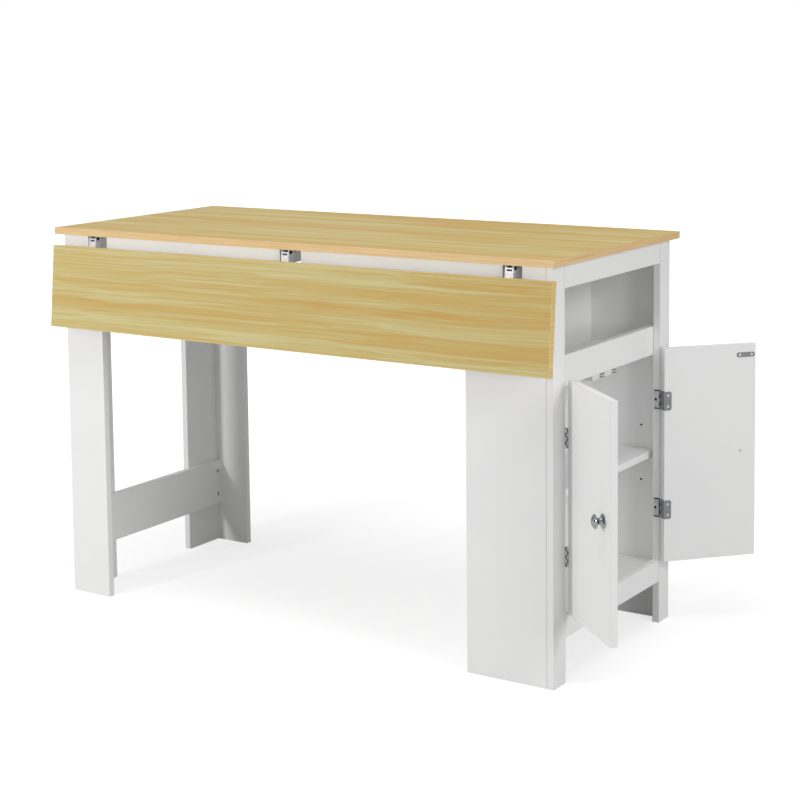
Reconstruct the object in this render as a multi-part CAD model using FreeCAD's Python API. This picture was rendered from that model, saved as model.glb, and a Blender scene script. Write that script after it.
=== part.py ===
import FreeCAD
import Part
import os
from math import asin, cos, sin

# Kitchen table with a drop leaf along its front and a storage cabinet under its right end.
# +Z is up, +X points to the cabinet end, -Y is the side that the leaf hangs on.
# The origin is on the floor, under the middle of the cabinet's inner side board.
# Lengths are in millimetres and angles in degrees.

# ---------------------------------------------------------------- driving dimensions
# Tabletop
table_length = 1360.0
table_depth = 606.0
table_height = 900.0
top_thickness = 16.0
edge_band = 1.0
overhang_left = 13.0
overhang_right = 13.0
overhang_front = 20.0

# Base boards
board = 16.0
base_depth = 560.0
apron_height = 80.0
leg_face_width = 113.0
leg_side_reach = 120.0
stretcher_height = 117.0
stretcher_clear_of_floor = 102.0

# Cabinet
cabinet_width = 208.0
stile_width = 51.0
top_rail_height = 50.0
bottom_rail_height = 50.0
toe_height = 98.0
floor_underside = 121.0
deck_underside = 624.0
lip_height = 65.0
lip_setback = 1.0

# Shelf and its hidden pins
shelf_underside = 381.0
shelf_front_setback = 13.0
shelf_end_gap = 0.5
shelf_back_gap = 1.0
shelf_pin_radius = 2.5
shelf_pin_length = 16.0
shelf_pin_depth = 8.0
shelf_pin_rise = 5.5
shelf_pin_front_inset = 33.0
shelf_pin_back_inset = 30.0
shelf_hole_pitch = 64.0
shelf_hole_gap = 0.05
shelf_slot_gap = 0.25
shelf_slot_depth = 10.0

# Doors
door_thickness = 16.0
door_hinge_gap = 3.0
door_meeting_gap = 3.0
door_bottom_gap = 2.0
door_lap_on_lip = 19.0
left_door_rest = 131.0
right_door_rest = 138.0

# Door hinges
hinge_height = 43.0
hinge_inset = 121.0
hinge_sheet = 1.2
hinge_pin_proud = 3.0
hinge_knuckle_radius = 3.0
hinge_knuckles = 5
hinge_knuckle_gap = 0.3
hinge_pin_radius = 1.4
hinge_pin_clearance = 0.05
hinge_stile_leaf = 13.0
hinge_door_wrap = 17.0
hinge_corner_radius = 5.0

# Knobs
knob_inset = 36.0
knob_base_radius = 14.0
knob_neck_radius = 6.5
knob_head_radius = 15.0
knob_base_height = 2.0
knob_neck_start = 8.0
knob_neck_end = 12.0
knob_head_edge = 18.0
knob_length = 25.0
knob_screw_head_radius = 4.5
knob_screw_head_height = 2.0
knob_screw_radius = 2.0
knob_screw_reach = 10.0

# Magnetic catches, one for each door, and their strike plates
catch_pitch = 58.0
catch_first_screw = -57.0
catch_screw_to_magnet = 32.0
catch_end = 12.5
catch_height = 11.4
catch_depth = 22.0
catch_magnet_length = 20.0
catch_magnet_height = 5.0
catch_magnet_depth = 9.0
catch_pole_thickness = 1.6
catch_pole_proud = 0.8
catch_air_gap = 0.3
strike_length = 45.0
strike_height = 11.0
strike_thickness = 1.2
strike_edge_gap = 2.5

# Drop leaf
leaf_width = 196.0
leaf_thickness = 16.0
leaf_gap = 1.0
leaf_fold_angle = 85.0
pivot_behind_front_edge = 19.8
pivot_below_top = 7.6

# Folding brackets, measured from the pivot
bracket_end_inset = 110.0
bracket_width = 20.0
bracket_sheet = 1.5
bracket_side_gap = 0.4
arm_length = 150.0
arm_heel_depth = 18.0
arm_heel_length = 20.0
arm_taper_length = 10.0
arm_rim_depth = 9.0
arm_relief = 0.4
arm_eye_radius = 7.0
arm_slot_width = 13.0
arm_slot_height = 4.0
arm_slot_below_pivot = 3.0
channel_length = 220.0
channel_depth = 32.0
channel_eye_radius = 5.5
channel_nose = 12.0
channel_tail_taper = 20.0
ear_width = 13.0
ear_length = 14.0
ear_offset = 20.0
notch_left = 20.0
notch_right = 38.0
notch_right_at_cabinet = 26.0
notch_height = 40.0
rivet_radius = 2.0
rivet_head_radius = 4.2
rivet_head_height = 1.6
rivet_clearance = 0.05
rivet_head_gap = 0.1

# Sliding lock bars inside the brackets
lock_length = 120.0
lock_width = 12.0
lock_thickness = 3.2
lock_below_web = 0.5
lock_setback = 6.0
lock_travel = 30.0
lock_tab_offset = 60.0
lock_tab_length = 12.0
lock_tab_reach = 20.0
lock_tab_drop = 20.0
lock_slot_gap = 0.4
guide_pin_radius = 1.9
guide_pin_gap = 0.3
guide_pin_offsets = (18.0, 100.0)

# Screws
screw_radius = 1.75
screw_clearance = 0.05
screw_head_radius = 3.5
screw_head_height = 1.6
screw_depth = 10.0
channel_screw_offsets = (150.0, 200.0)
arm_screw_offsets = (50.0, 92.0, 134.0)
stretcher_screw_radius = 5.0
stretcher_screw_head_height = 2.0
stretcher_screw_inset = 19.0
stretcher_screw_edge = 27.0
flat_head_radius = 2.9
hinge_screw_edge = 9.0
strike_screw_inset = 8.0

# ---------------------------------------------------------------- derived places
under_top = table_height - top_thickness
inner_side_left = -board / 2
inner_side_right = board / 2
cabinet_face = inner_side_left + cabinet_width
stile_back = cabinet_face - board
top_right = cabinet_face + overhang_right
top_left = top_right - table_length
base_left = top_left + overhang_left
base_front = -base_depth / 2
base_back = base_depth / 2
inner_front = base_front + board
inner_back = base_back - board
front_edge = base_front - overhang_front
back_edge = front_edge + table_depth
apron_bottom = under_top - apron_height
side_inner = base_left + board

stile_front_edge = base_front + stile_width
stile_back_edge = base_back - stile_width
lip_face = stile_back - lip_setback
lip_back = lip_face - board
deck_top = deck_underside + board
shelf_front = stile_back - shelf_front_setback

door_bottom = toe_height + bottom_rail_height + door_bottom_gap
door_top = deck_underside + door_lap_on_lip
door_middle = (door_bottom + door_top) / 2
opening_width = stile_back_edge - stile_front_edge
door_width = (opening_width - 2 * door_hinge_gap - door_meeting_gap) / 2
door_inner = cabinet_face - door_thickness
hinge_middles = (door_bottom + hinge_inset, door_top - hinge_inset)

pin_x = cabinet_face + hinge_pin_proud
left_pin_y = stile_front_edge + door_hinge_gap / 2
right_pin_y = stile_back_edge - door_hinge_gap / 2
mirror_y = (left_pin_y + right_pin_y) / 2

pivot_y = front_edge + pivot_behind_front_edge
pivot_z = under_top - pivot_below_top
leaf_back_edge = front_edge - leaf_gap
leaf_top = table_height
leaf_underside = leaf_top - leaf_thickness
bracket_places = (
    (top_left + bracket_end_inset, notch_right),
    ((top_left + top_right) / 2, notch_right),
    (top_right - bracket_end_inset, notch_right_at_cabinet),
)
bracket_middles = tuple(place[0] for place in bracket_places)
channel_width = bracket_width - 2 * bracket_sheet - 2 * bracket_side_gap
arm_web_inner = pivot_below_top - bracket_sheet
lock_top = arm_web_inner - lock_below_web
lock_bottom = lock_top - lock_thickness
guide_pin_height = lock_bottom - guide_pin_gap - guide_pin_radius

UP = FreeCAD.Vector(0, 0, 1)
DOWN = FreeCAD.Vector(0, 0, -1)
RIGHT = FreeCAD.Vector(1, 0, 0)
LEFT = FreeCAD.Vector(-1, 0, 0)
BACK = FreeCAD.Vector(0, 1, 0)
FRONT = FreeCAD.Vector(0, -1, 0)


# ---------------------------------------------------------------- shape helpers
def vec(x, y, z):
    """A point or a direction."""
    return FreeCAD.Vector(x, y, z)


def block(x0, x1, y0, y1, z0, z1):
    """A square-cornered board between six planes."""
    return Part.makeBox(x1 - x0, y1 - y0, z1 - z0, vec(x0, y0, z0))


def rod(start, direction, radius, length):
    """A round bar that starts at a point and runs along a direction."""
    return Part.makeCylinder(radius, length, start, direction)


def prism(points, axis, start, thickness):
    """A flat outline pushed out along X, or along Z; its points are (y, z) or (x, y)."""
    if axis == "x":
        corners = [vec(start, a, b) for a, b in points]
        push = vec(thickness, 0, 0)
    else:
        corners = [vec(a, b, start) for a, b in points]
        push = vec(0, 0, thickness)
    outline = Part.makePolygon(corners + corners[:1])
    return Part.Face(outline).extrude(push)


def turned(shape, centre, axis, degrees):
    """A copy of a shape, turned about an axis through a point."""
    copy = shape.copy()
    copy.rotate(centre, axis, degrees)
    return copy


def mirrored(shape):
    """The other door's copy of a shape, across the middle of the cabinet's end."""
    return shape.mirror(vec(0, mirror_y, 0), BACK)


def group(shapes):
    """Separate solids kept together in one sub-part."""
    return Part.makeCompound(shapes)


def screw(seat, inward, head_radius, head_height, radius, depth):
    """A pan-head screw: its head lies outside the seat and its shank runs inward."""
    head = rod(seat, inward.negative(), head_radius, head_height)
    return head.fuse(rod(seat, inward, radius, depth)).removeSplitter()


def flat_screw(seat, inward, sheet, gap=0.0):
    """A countersunk screw, flush with the sheet that it holds, or with a gap the hole for it."""
    head = Part.makeCone(flat_head_radius + gap, screw_radius + gap, sheet, seat, inward)
    return head.fuse(rod(seat, inward, screw_radius + gap, screw_depth)).removeSplitter()


def countersunk(shape, seats, inward, sheet):
    """A sheet with a countersunk hole at each seat."""
    return shape.cut(group([flat_screw(seat, inward, sheet, screw_clearance) for seat in seats]))


def bored(shape, seats, inward, radius, depth):
    """A shape with a round hole at each seat, with clearance for the shank in it."""
    holes = [rod(seat, inward, radius + screw_clearance, depth) for seat in seats]
    return shape.cut(group(holes))


def export(name, shape):
    """Write one sub-part."""
    shape.exportStep("parts/" + name + ".step")


# ---------------------------------------------------------------- tabletop and leaf
def slab(x0, x1, y0, y1, z0, z1):
    """The board inside its edge band."""
    return block(x0 + edge_band, x1 - edge_band, y0 + edge_band, y1 - edge_band, z0, z1)


def band(x0, x1, y0, y1, z0, z1):
    """The edge band round all four edges of a slab."""
    return block(x0, x1, y0, y1, z0, z1).cut(slab(x0, x1, y0, y1, z0, z1))


def channel_screw_seats(middle):
    """Screw places of one fixed channel, on the channel's lower face."""
    height = pivot_z + arm_web_inner
    seats = [vec(middle, pivot_y + offset, height) for offset in channel_screw_offsets]
    side = (channel_width + ear_width) / 2
    ear_middle = pivot_y + ear_offset + ear_length / 2
    return seats + [vec(middle + shift, ear_middle, height) for shift in (-side, side)]


def arm_screw_seats(middle):
    """Screw places of one moving arm in the raised position, on its web's lower face."""
    height = pivot_z + arm_web_inner
    return [vec(middle, pivot_y - offset, height) for offset in arm_screw_offsets]


def make_tabletop():
    """The laminated tabletop, with the holes for the brackets' screws."""
    top = slab(top_left, top_right, front_edge, back_edge, under_top, table_height)
    seats = [seat for middle in bracket_middles for seat in channel_screw_seats(middle)]
    return bored(top, seats, UP, screw_radius, screw_depth)


def make_tabletop_band():
    """The tabletop's edge band."""
    return band(top_left, top_right, front_edge, back_edge, under_top, table_height)


def make_leaf():
    """The leaf board in its raised position, flush with the tabletop."""
    near = leaf_back_edge - leaf_width
    leaf = slab(top_left, top_right, near, leaf_back_edge, leaf_underside, leaf_top)
    seats = [seat for middle in bracket_middles for seat in arm_screw_seats(middle)]
    return bored(leaf, seats, UP, screw_radius, screw_depth)


def make_leaf_band():
    """The leaf's edge band, in the raised position."""
    near = leaf_back_edge - leaf_width
    return band(top_left, top_right, near, leaf_back_edge, leaf_underside, leaf_top)


def hanging(shape):
    """A piece of the leaf, turned from the raised position to where it hangs."""
    return turned(shape, vec(0, pivot_y, pivot_z), RIGHT, leaf_fold_angle)


# ---------------------------------------------------------------- base
def notch(middle, right_room):
    """The room cut for one bracket in the board that it passes through."""
    return block(
        middle - notch_left,
        middle + right_room,
        base_front,
        inner_front,
        under_top - notch_height,
        under_top,
    )


def make_front_apron():
    """The front apron, from the left end to the cabinet, notched for two brackets."""
    apron = block(base_left, inner_side_left, base_front, inner_front, apron_bottom, under_top)
    for middle, right_room in bracket_places[:2]:
        apron = apron.cut(notch(middle, right_room))
    return apron


def make_back_apron():
    """The back apron, from the left end to the cabinet."""
    return block(base_left, inner_side_left, inner_back, base_back, apron_bottom, under_top)


def make_left_end_apron():
    """The end apron, between the side boards of the two left legs."""
    near = inner_front + leg_side_reach
    far = inner_back - leg_side_reach
    return block(base_left, side_inner, near, far, apron_bottom, under_top)


def make_leg_face(y0, y1):
    """The wide board of a left leg, which butts under an apron."""
    return block(base_left, base_left + leg_face_width, y0, y1, 0, apron_bottom)


def make_leg_side(y0, y1):
    """The side board of a left leg, which runs up to the tabletop."""
    side = block(base_left, side_inner, y0, y1, 0, under_top)
    seats = [seat for seat in stretcher_screw_seats() if y0 < seat.y < y1]
    inward_face = [vec(side_inner, seat.y, seat.z) for seat in seats]
    return bored(side, inward_face, LEFT, screw_radius, screw_depth)


def stretcher_screw_seats():
    """Screw places of the stretcher, on its inner face, two at each end."""
    low = stretcher_clear_of_floor + stretcher_screw_edge
    high = stretcher_clear_of_floor + stretcher_height - stretcher_screw_edge
    near = inner_front + stretcher_screw_inset
    far = inner_back - stretcher_screw_inset
    return [vec(side_inner + board, y, z) for y in (near, far) for z in (low, high)]


def make_stretcher():
    """The stretcher, on the inner faces of the left legs' side boards."""
    top = stretcher_clear_of_floor + stretcher_height
    rail = block(side_inner, side_inner + board, inner_front, inner_back, stretcher_clear_of_floor, top)
    return bored(rail, stretcher_screw_seats(), LEFT, screw_radius, board)


def make_stretcher_screws():
    """The four screws that hold the stretcher."""
    depth = board + screw_depth
    return group([
        screw(seat, LEFT, stretcher_screw_radius, stretcher_screw_head_height, screw_radius, depth)
        for seat in stretcher_screw_seats()
    ])


# ---------------------------------------------------------------- cabinet
def pin_rows():
    """The X places of the two columns of shelf-pin holes."""
    shelf_back = inner_side_right + shelf_back_gap
    return (shelf_back + shelf_pin_back_inset, shelf_front - shelf_pin_front_inset)


def pin_heights():
    """The heights of the holes in one column: the one in use and a spare on each side."""
    used = shelf_underside + shelf_pin_rise
    return (used - shelf_hole_pitch, used, used + shelf_hole_pitch)


def pin_holes(face_y, direction):
    """All the shelf-pin holes in one panel."""
    radius = shelf_pin_radius + shelf_hole_gap
    return group([
        rod(vec(x, face_y, z), direction, radius, shelf_pin_depth)
        for x in pin_rows()
        for z in pin_heights()
    ])


def make_front_panel():
    """The cabinet's front panel, notched for the right bracket."""
    panel = block(inner_side_left, stile_back, base_front, inner_front, 0, under_top)
    middle, right_room = bracket_places[2]
    panel = panel.cut(notch(middle, right_room))
    return panel.cut(pin_holes(inner_front, FRONT))


def make_back_panel():
    """The cabinet's back panel."""
    panel = block(inner_side_left, stile_back, inner_back, base_back, 0, under_top)
    return panel.cut(pin_holes(inner_back, BACK))


def make_inner_side():
    """The cabinet's inner side, which closes it towards the knee space."""
    return block(inner_side_left, inner_side_right, inner_front, inner_back, 0, under_top)


def hinge_stile_seats(edge_y):
    """Screw places of the hinges on the inner edge of a stile."""
    x = cabinet_face - hinge_screw_edge
    return [vec(x, edge_y, z) for z in hinge_middles]


def make_stile(y0, y1, edge_y, outward):
    """A stile of the end frame, from the floor to the tabletop."""
    stile = block(stile_back, cabinet_face, y0, y1, 0, under_top)
    return bored(stile, hinge_stile_seats(edge_y), outward, screw_radius, screw_depth)


def make_end_rail(bottom, height):
    """A rail of the end frame, flush between the stiles."""
    return block(stile_back, cabinet_face, stile_front_edge, stile_back_edge, bottom, bottom + height)


def make_tray_lip():
    """The lip that keeps things on the tray, one board behind the end frame."""
    return block(lip_back, lip_face, inner_front, inner_back, deck_underside, deck_underside + lip_height)


def make_tray_deck():
    """The deck of the open tray."""
    return block(inner_side_right, lip_back, inner_front, inner_back, deck_underside, deck_top)


def make_cabinet_floor():
    """The floor of the cupboard."""
    top = floor_underside + board
    return block(inner_side_right, stile_back, inner_front, inner_back, floor_underside, top)


def shelf_slot(x, end_y, inward):
    """The slot in one end of the shelf that drops over a pin, open at the underside."""
    half = shelf_pin_radius + shelf_slot_gap
    far = end_y + inward * shelf_slot_depth
    crown = shelf_underside + shelf_pin_rise
    sides = block(x - half, x + half, min(end_y, far), max(end_y, far), shelf_underside, crown)
    return sides.fuse(rod(vec(x, end_y, crown), vec(0, inward, 0), half, shelf_slot_depth))


def make_shelf():
    """The adjustable shelf, slotted at its ends so that it hides the pins it rests on."""
    near = inner_front + shelf_end_gap
    far = inner_back - shelf_end_gap
    back = inner_side_right + shelf_back_gap
    shelf = block(back, shelf_front, near, far, shelf_underside, shelf_underside + board)
    for x in pin_rows():
        shelf = shelf.cut(shelf_slot(x, near, 1)).cut(shelf_slot(x, far, -1))
    return shelf


def make_shelf_pins():
    """The four pins under the shelf, half of each in a panel."""
    height = shelf_underside + shelf_pin_rise
    pins = []
    for x in pin_rows():
        start = vec(x, inner_front - shelf_pin_depth, height)
        pins.append(rod(start, BACK, shelf_pin_radius, shelf_pin_length))
        start = vec(x, inner_back + shelf_pin_depth, height)
        pins.append(rod(start, FRONT, shelf_pin_radius, shelf_pin_length))
    return group(pins)


# ---------------------------------------------------------------- magnetic catch
def catch_front():
    """The plane that the catches' poles reach, just behind the closed strike plates."""
    return door_inner - strike_thickness - catch_air_gap


def catch_screw_places():
    """The places of the two catches' screws across the cabinet."""
    first = mirror_y + catch_first_screw
    return (first, first + catch_pitch)


def catch_middle_height():
    """The height of the magnets' middle, which is that of the strike plates."""
    return deck_underside - catch_height / 2


def magnet_pocket(screw_y, front, depth, height):
    """The space of one magnet, or with more height that of its two pole plates as well."""
    middle = screw_y + catch_screw_to_magnet
    half = catch_magnet_length / 2
    low = catch_middle_height() - height / 2
    return block(front - depth, front, middle - half, middle + half, low, low + height)


def poles_height():
    """The height over both pole plates of a magnet."""
    return catch_magnet_height + 2 * catch_pole_thickness


def catch_screw_seats():
    """Screw places of the catches, on their lower faces."""
    low = deck_underside - catch_height
    x = catch_front() - catch_pole_proud - catch_depth / 2
    return [vec(x, y, low) for y in catch_screw_places()]


def make_catch_housings():
    """The two housings under the tray, each with a pocket at the front for its magnet."""
    front = catch_front() - catch_pole_proud
    low = deck_underside - catch_height
    housings = []
    for y in catch_screw_places():
        far = y + catch_screw_to_magnet + catch_end
        body = block(front - catch_depth, front, y - catch_end, far, low, deck_underside)
        body = body.cut(magnet_pocket(y, front, catch_magnet_depth, poles_height()))
        seats = [seat for seat in catch_screw_seats() if seat.y == y]
        housings.append(bored(body, seats, UP, screw_radius, catch_height))
    return group(housings)


def make_catch_magnets():
    """The two magnets, each between its pole plates."""
    front = catch_front() - catch_pole_proud
    return group([
        magnet_pocket(y, front, catch_magnet_depth, catch_magnet_height)
        for y in catch_screw_places()
    ])


def make_catch_poles():
    """The four steel pole plates, which stand a little proud of the housings."""
    depth = catch_magnet_depth + catch_pole_proud
    plates = []
    for y in catch_screw_places():
        both = magnet_pocket(y, catch_front(), depth, poles_height())
        plates.extend(both.cut(magnet_pocket(y, catch_front(), depth, catch_magnet_height)).Solids)
    return group(plates)


def make_catch_screws():
    """The screws of the catches, up through their housings."""
    depth = catch_height + screw_depth
    return group([
        screw(seat, UP, screw_head_radius, screw_head_height, screw_radius, depth)
        for seat in catch_screw_seats()
    ])


def with_catch_holes(board_shape):
    """A board of the tray, with the holes for the catches' screws."""
    return bored(board_shape, catch_screw_seats(), UP, screw_radius, catch_height + screw_depth)


# ---------------------------------------------------------------- doors, closed, hinge on the left
def knuckle_spans(middle):
    """The heights between which each knuckle of a hinge runs, from the bottom up."""
    pitch = hinge_height / hinge_knuckles
    bottom = middle - hinge_height / 2
    shrink = hinge_knuckle_gap / 2
    return [
        (bottom + index * pitch + shrink, bottom + (index + 1) * pitch - shrink)
        for index in range(hinge_knuckles)
    ]


def knuckles(leaf, middle, turn):
    """A hinge leaf with its own knuckles rolled on, and the other leaf's cut away."""
    for index, (low, high) in enumerate(knuckle_spans(middle)):
        start = vec(pin_x, left_pin_y, low)
        if index % 2 == turn:
            leaf = leaf.fuse(rod(start, UP, hinge_knuckle_radius, high - low))
        else:
            shrink = hinge_knuckle_gap
            room_start = vec(pin_x, left_pin_y, low - shrink)
            room = rod(room_start, UP, hinge_knuckle_radius + hinge_knuckle_gap, high - low + 2 * shrink)
            leaf = leaf.cut(room)
    bore_start = vec(pin_x, left_pin_y, middle - hinge_height)
    bore = rod(bore_start, UP, hinge_pin_radius + hinge_pin_clearance, 2 * hinge_height)
    return leaf.cut(bore).removeSplitter()


def stile_leaf(middle):
    """The hinge leaf on the stile's inner edge, on the odd knuckles."""
    low = middle - hinge_height / 2
    high = middle + hinge_height / 2
    near = cabinet_face - hinge_stile_leaf
    leaf = block(near, pin_x, stile_front_edge, stile_front_edge + hinge_sheet, low, high)
    seat = vec(cabinet_face - hinge_screw_edge, stile_front_edge + hinge_sheet, middle)
    return knuckles(countersunk(leaf, [seat], FRONT, hinge_sheet), middle, 0)


def door_leaf(middle):
    """The hinge leaf that wraps the door's edge and lies on its inner face."""
    low = middle - hinge_height / 2
    high = middle + hinge_height / 2
    edge = stile_front_edge + door_hinge_gap
    back = door_inner - hinge_sheet
    side = block(back, pin_x, edge - hinge_sheet, edge, low, high)
    face = block(back, door_inner, edge - hinge_sheet, edge + hinge_door_wrap, low, high)
    corners = [
        rim for rim in face.Edges
        if abs(rim.CenterOfMass.y - edge - hinge_door_wrap) < hinge_corner_radius and is_thin(rim)
    ]
    face = face.makeFillet(hinge_corner_radius, corners)
    leaf = countersunk(side.fuse(face).removeSplitter(), door_leaf_seats(middle), RIGHT, hinge_sheet)
    return knuckles(leaf, middle, 1)


def is_thin(edge):
    """Whether a straight edge runs through the thickness of the hinge's sheet."""
    return abs(edge.Length - hinge_sheet) < hinge_sheet / 10


def door_leaf_seats(middle):
    """Screw places of the door's hinge leaf, on its face."""
    y = stile_front_edge + door_hinge_gap + hinge_screw_edge
    rise = hinge_height / 2 - hinge_screw_edge
    return [vec(door_inner - hinge_sheet, y, middle + shift) for shift in (-rise, rise)]


def knob_seat():
    """The middle of the knob's base, on the door's outer face."""
    y = stile_front_edge + door_hinge_gap + door_width - knob_inset
    return vec(cabinet_face, y, door_middle)


def strike_seats():
    """Screw places of the strike plate, on the plate's face."""
    low, high = strike_span()
    y_places = (low + strike_screw_inset, high - strike_screw_inset)
    return [vec(door_inner - strike_thickness, y, catch_middle_height()) for y in y_places]


def strike_span():
    """The two ends of the strike plate along the door, beside the door's free edge."""
    end = stile_front_edge + door_hinge_gap + door_width - strike_edge_gap
    return (end - strike_length, end)


def make_door():
    """A door board with the holes for its screws."""
    near = stile_front_edge + door_hinge_gap
    door = block(door_inner, cabinet_face, near, near + door_width, door_bottom, door_top)
    seats = strike_seats()
    for middle in hinge_middles:
        seats = seats + door_leaf_seats(middle)
    door = bored(door, seats, RIGHT, screw_radius, screw_depth)
    seat = knob_seat()
    return door.cut(rod(vec(door_inner, seat.y, seat.z), RIGHT, knob_screw_radius + screw_clearance, door_thickness))


def make_door_leaves():
    """The two hinge leaves of a door."""
    return group([door_leaf(middle) for middle in hinge_middles])


def make_stile_leaves():
    """The two hinge leaves of a stile."""
    return group([stile_leaf(middle) for middle in hinge_middles])


def make_hinge_pins():
    """The two hinge pins of a door."""
    return group([
        rod(vec(pin_x, left_pin_y, middle - hinge_height / 2), UP, hinge_pin_radius, hinge_height)
        for middle in hinge_middles
    ])


def cap(edge, crown):
    """The arc of a spherical cap, from its edge to its crown on the axis."""
    rise = crown.z - edge.z
    radius = (edge.x ** 2 + rise ** 2) / (2 * rise)
    half = asin(edge.x / radius) / 2
    middle = vec(radius * sin(half), 0, crown.z - radius * (1 - cos(half)))
    return Part.Arc(edge, middle, crown).toShape()


def make_knob():
    """A turned mushroom knob: a flanged foot, a waist and a domed head."""
    foot = vec(0, 0, 0)
    base_rim = vec(knob_base_radius, 0, 0)
    base_top = vec(knob_base_radius, 0, knob_base_height)
    neck_start = vec(knob_neck_radius, 0, knob_neck_start)
    neck_end = vec(knob_neck_radius, 0, knob_neck_end)
    head_edge = vec(knob_head_radius, 0, knob_head_edge)
    crown = vec(0, 0, knob_length)
    profile = Part.Wire([
        Part.LineSegment(foot, base_rim).toShape(),
        Part.LineSegment(base_rim, base_top).toShape(),
        Part.LineSegment(base_top, neck_start).toShape(),
        Part.LineSegment(neck_start, neck_end).toShape(),
        Part.LineSegment(neck_end, head_edge).toShape(),
        cap(head_edge, crown),
        Part.LineSegment(crown, foot).toShape(),
    ])
    body = Part.Face(profile).revolve(foot, UP, 360)
    body.rotate(foot, BACK, 90)
    body.translate(knob_seat())
    return body.cut(rod(knob_seat(), RIGHT, knob_screw_radius + screw_clearance, knob_screw_reach))


def make_knob_screw():
    """The knob's screw, from the door's inner face."""
    seat = vec(door_inner, knob_seat().y, knob_seat().z)
    depth = door_thickness + knob_screw_reach
    return screw(seat, RIGHT, knob_screw_head_radius, knob_screw_head_height, knob_screw_radius, depth)


def make_strike_plate():
    """The steel plate that the catch pulls, with its two screw holes."""
    low, high = strike_span()
    round_end = strike_height / 2
    middle = catch_middle_height()
    face = door_inner - strike_thickness
    plate = block(face, door_inner, low + round_end, high - round_end, middle - round_end, middle + round_end)
    for y in (low + round_end, high - round_end):
        plate = plate.fuse(rod(vec(face, y, middle), RIGHT, round_end, strike_thickness))
    plate = plate.removeSplitter()
    return countersunk(plate, strike_seats(), RIGHT, strike_thickness)


def make_door_screws():
    """The small screws of a door: four in its hinge leaves and two in its strike plate."""
    screws = [flat_screw(seat, RIGHT, strike_thickness) for seat in strike_seats()]
    for middle in hinge_middles:
        screws.extend(flat_screw(seat, RIGHT, hinge_sheet) for seat in door_leaf_seats(middle))
    return group(screws)


def make_stile_screws():
    """The small screws of the stile's hinge leaves."""
    seats = hinge_stile_seats(stile_front_edge + hinge_sheet)
    return group([flat_screw(seat, FRONT, hinge_sheet) for seat in seats])


def left_open(shape):
    """A piece of the left door, turned from closed to where it stands open."""
    return turned(shape, vec(pin_x, left_pin_y, 0), DOWN, left_door_rest)


def right_open(shape):
    """A piece of the right door, mirrored from the left and turned to where it stands open."""
    return turned(mirrored(shape), vec(pin_x, right_pin_y, 0), UP, right_door_rest)


# ---------------------------------------------------------------- folding brackets
def at_pivot(points):
    """Outline points given from the bracket's pivot, moved to their place."""
    return [(pivot_y + y, pivot_z + z) for y, z in points]


def eye(middle, width, radius):
    """The round end of a bracket's cheeks, about the pivot."""
    return rod(vec(middle - width / 2, pivot_y, pivot_z), RIGHT, radius, width)


def hollow(outer, middle, width, y0, y1, top):
    """A solid profile opened below its web, so that two cheeks are left."""
    inside = width / 2 - bracket_sheet
    room = block(
        middle - inside,
        middle + inside,
        pivot_y + y0,
        pivot_y + y1,
        pivot_z - pivot_below_top - channel_depth,
        pivot_z + top,
    )
    return outer.cut(room)


def fixed_channel(middle):
    """The channel under the tabletop: two cheeks, a web and two ears with screws."""
    rim = pivot_below_top - channel_depth
    outline = at_pivot([
        (0, -channel_eye_radius),
        (channel_nose, rim),
        (channel_length - channel_tail_taper, rim),
        (channel_length, rim / 2),
        (channel_length, pivot_below_top),
        (channel_eye_radius, pivot_below_top),
        (0, channel_eye_radius),
    ])
    body = prism(outline, "x", middle - channel_width / 2, channel_width)
    body = body.fuse(eye(middle, channel_width, channel_eye_radius))
    body = hollow(body, middle, channel_width, -arm_eye_radius, channel_length, arm_web_inner)
    nose = block(
        middle - channel_width / 2 + bracket_sheet,
        middle + channel_width / 2 - bracket_sheet,
        pivot_y - channel_eye_radius,
        pivot_y + channel_eye_radius,
        pivot_z,
        under_top,
    )
    ear_side = channel_width / 2 + ear_width
    ears = block(
        middle - ear_side,
        middle + ear_side,
        pivot_y + ear_offset,
        pivot_y + ear_offset + ear_length,
        pivot_z + arm_web_inner,
        under_top,
    )
    slot = block(
        middle,
        middle + channel_width,
        pivot_y + lock_tab_offset - lock_travel + lock_setback - lock_slot_gap,
        pivot_y + lock_tab_offset + lock_tab_length + lock_setback + lock_slot_gap,
        pivot_z + lock_bottom - lock_slot_gap,
        pivot_z + arm_web_inner,
    )
    body = body.cut(nose).fuse(ears).cut(slot).cut(eye(middle, bracket_width, rivet_radius))
    for offset in guide_pin_offsets:
        body = body.cut(guide_pin(middle, offset))
    return bored(body, channel_screw_seats(middle), UP, screw_radius, bracket_sheet).removeSplitter()


def guide_pin(middle, offset):
    """A cross pin that the lock bar slides on."""
    start = vec(middle - channel_width / 2, pivot_y + offset, pivot_z + guide_pin_height)
    return rod(start, RIGHT, guide_pin_radius, channel_width)


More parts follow.
